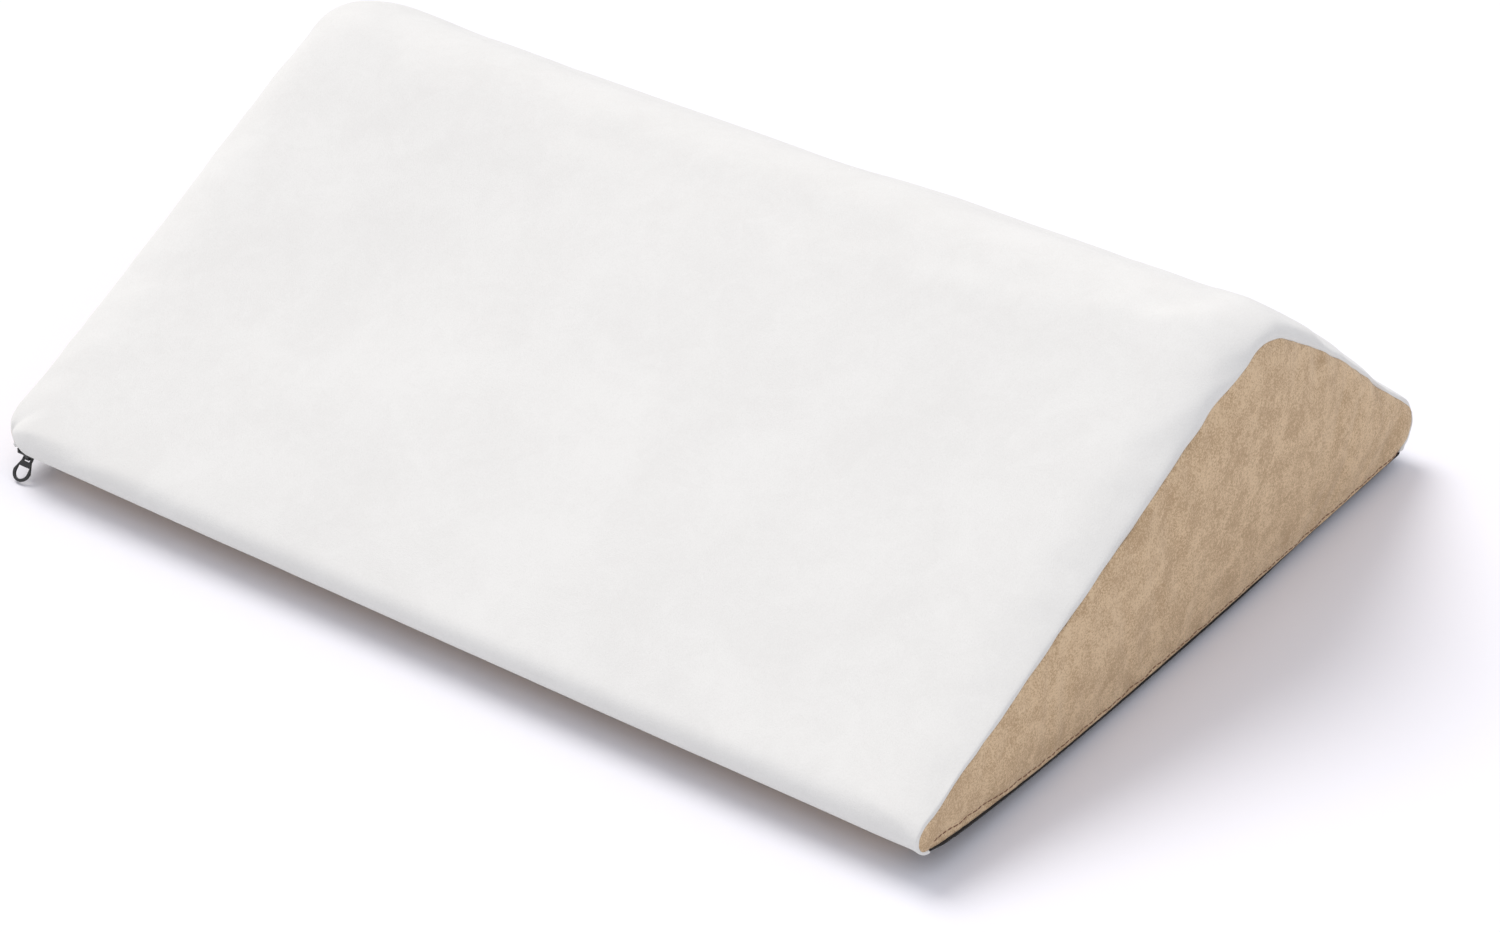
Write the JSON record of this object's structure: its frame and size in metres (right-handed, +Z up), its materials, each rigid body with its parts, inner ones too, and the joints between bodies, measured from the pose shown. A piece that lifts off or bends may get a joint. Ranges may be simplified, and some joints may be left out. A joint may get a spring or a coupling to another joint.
{
  "type": "lumbar support cushion",
  "caption": "Low wedge-shaped foam cushion in a zip-off cover with a pale velour top and tan brushed side panels.",
  "frame": {"origin": "middle of the footprint, on the surface that the cushion rests on", "axes": "+X along the cushion, to the right when seen from its thin front edge; +Y from the thin front edge to the tall back edge; +Z up"},
  "size_m": [0.51, 0.3993, 0.1428],
  "materials": {
    "base_foam": "matte",
    "comfort_foam": "matte",
    "velour": "matte",
    "microsuede": "matte",
    "zip_tape": "matte",
    "zip_coil": "satin",
    "zip_metal": "satin",
    "thread": "matte"
  },
  "bodies": {
    "cover": {"foam_base": "base_foam", "comfort_layer": "comfort_foam", "top_panel": "velour", "left_gusset": "microsuede", "right_gusset": "microsuede", "bottom_panel": "microsuede", "zipper_tape_outer": "zip_tape", "zipper_tape_inner": "zip_tape", "zipper_coil_outer": "zip_coil", "zipper_coil_inner": "zip_coil", "zipper_top_stop_outer": "zip_metal", "zipper_top_stop_inner": "zip_metal", "zipper_bottom_stop": "zip_metal", "topstitch_outer": "thread", "topstitch_inner": "thread"},
    "slider": {"zipper_slider": "zip_metal"},
    "pull": {"zipper_pull": "zip_metal"}
  },
  "joints": [
    {"name": "slider_travel", "type": "slide", "parent": "cover", "child": "slider", "axis": [0, 0.9998, -0.0213], "range_m": [0, 0.335]},
    {"name": "pull_swing", "type": "hinge", "parent": "slider", "child": "pull", "pos_m": [-0.244, -0.18481, 0.01037], "axis": [1, 0, 0], "range_deg": [-45, 131]}
  ]
}
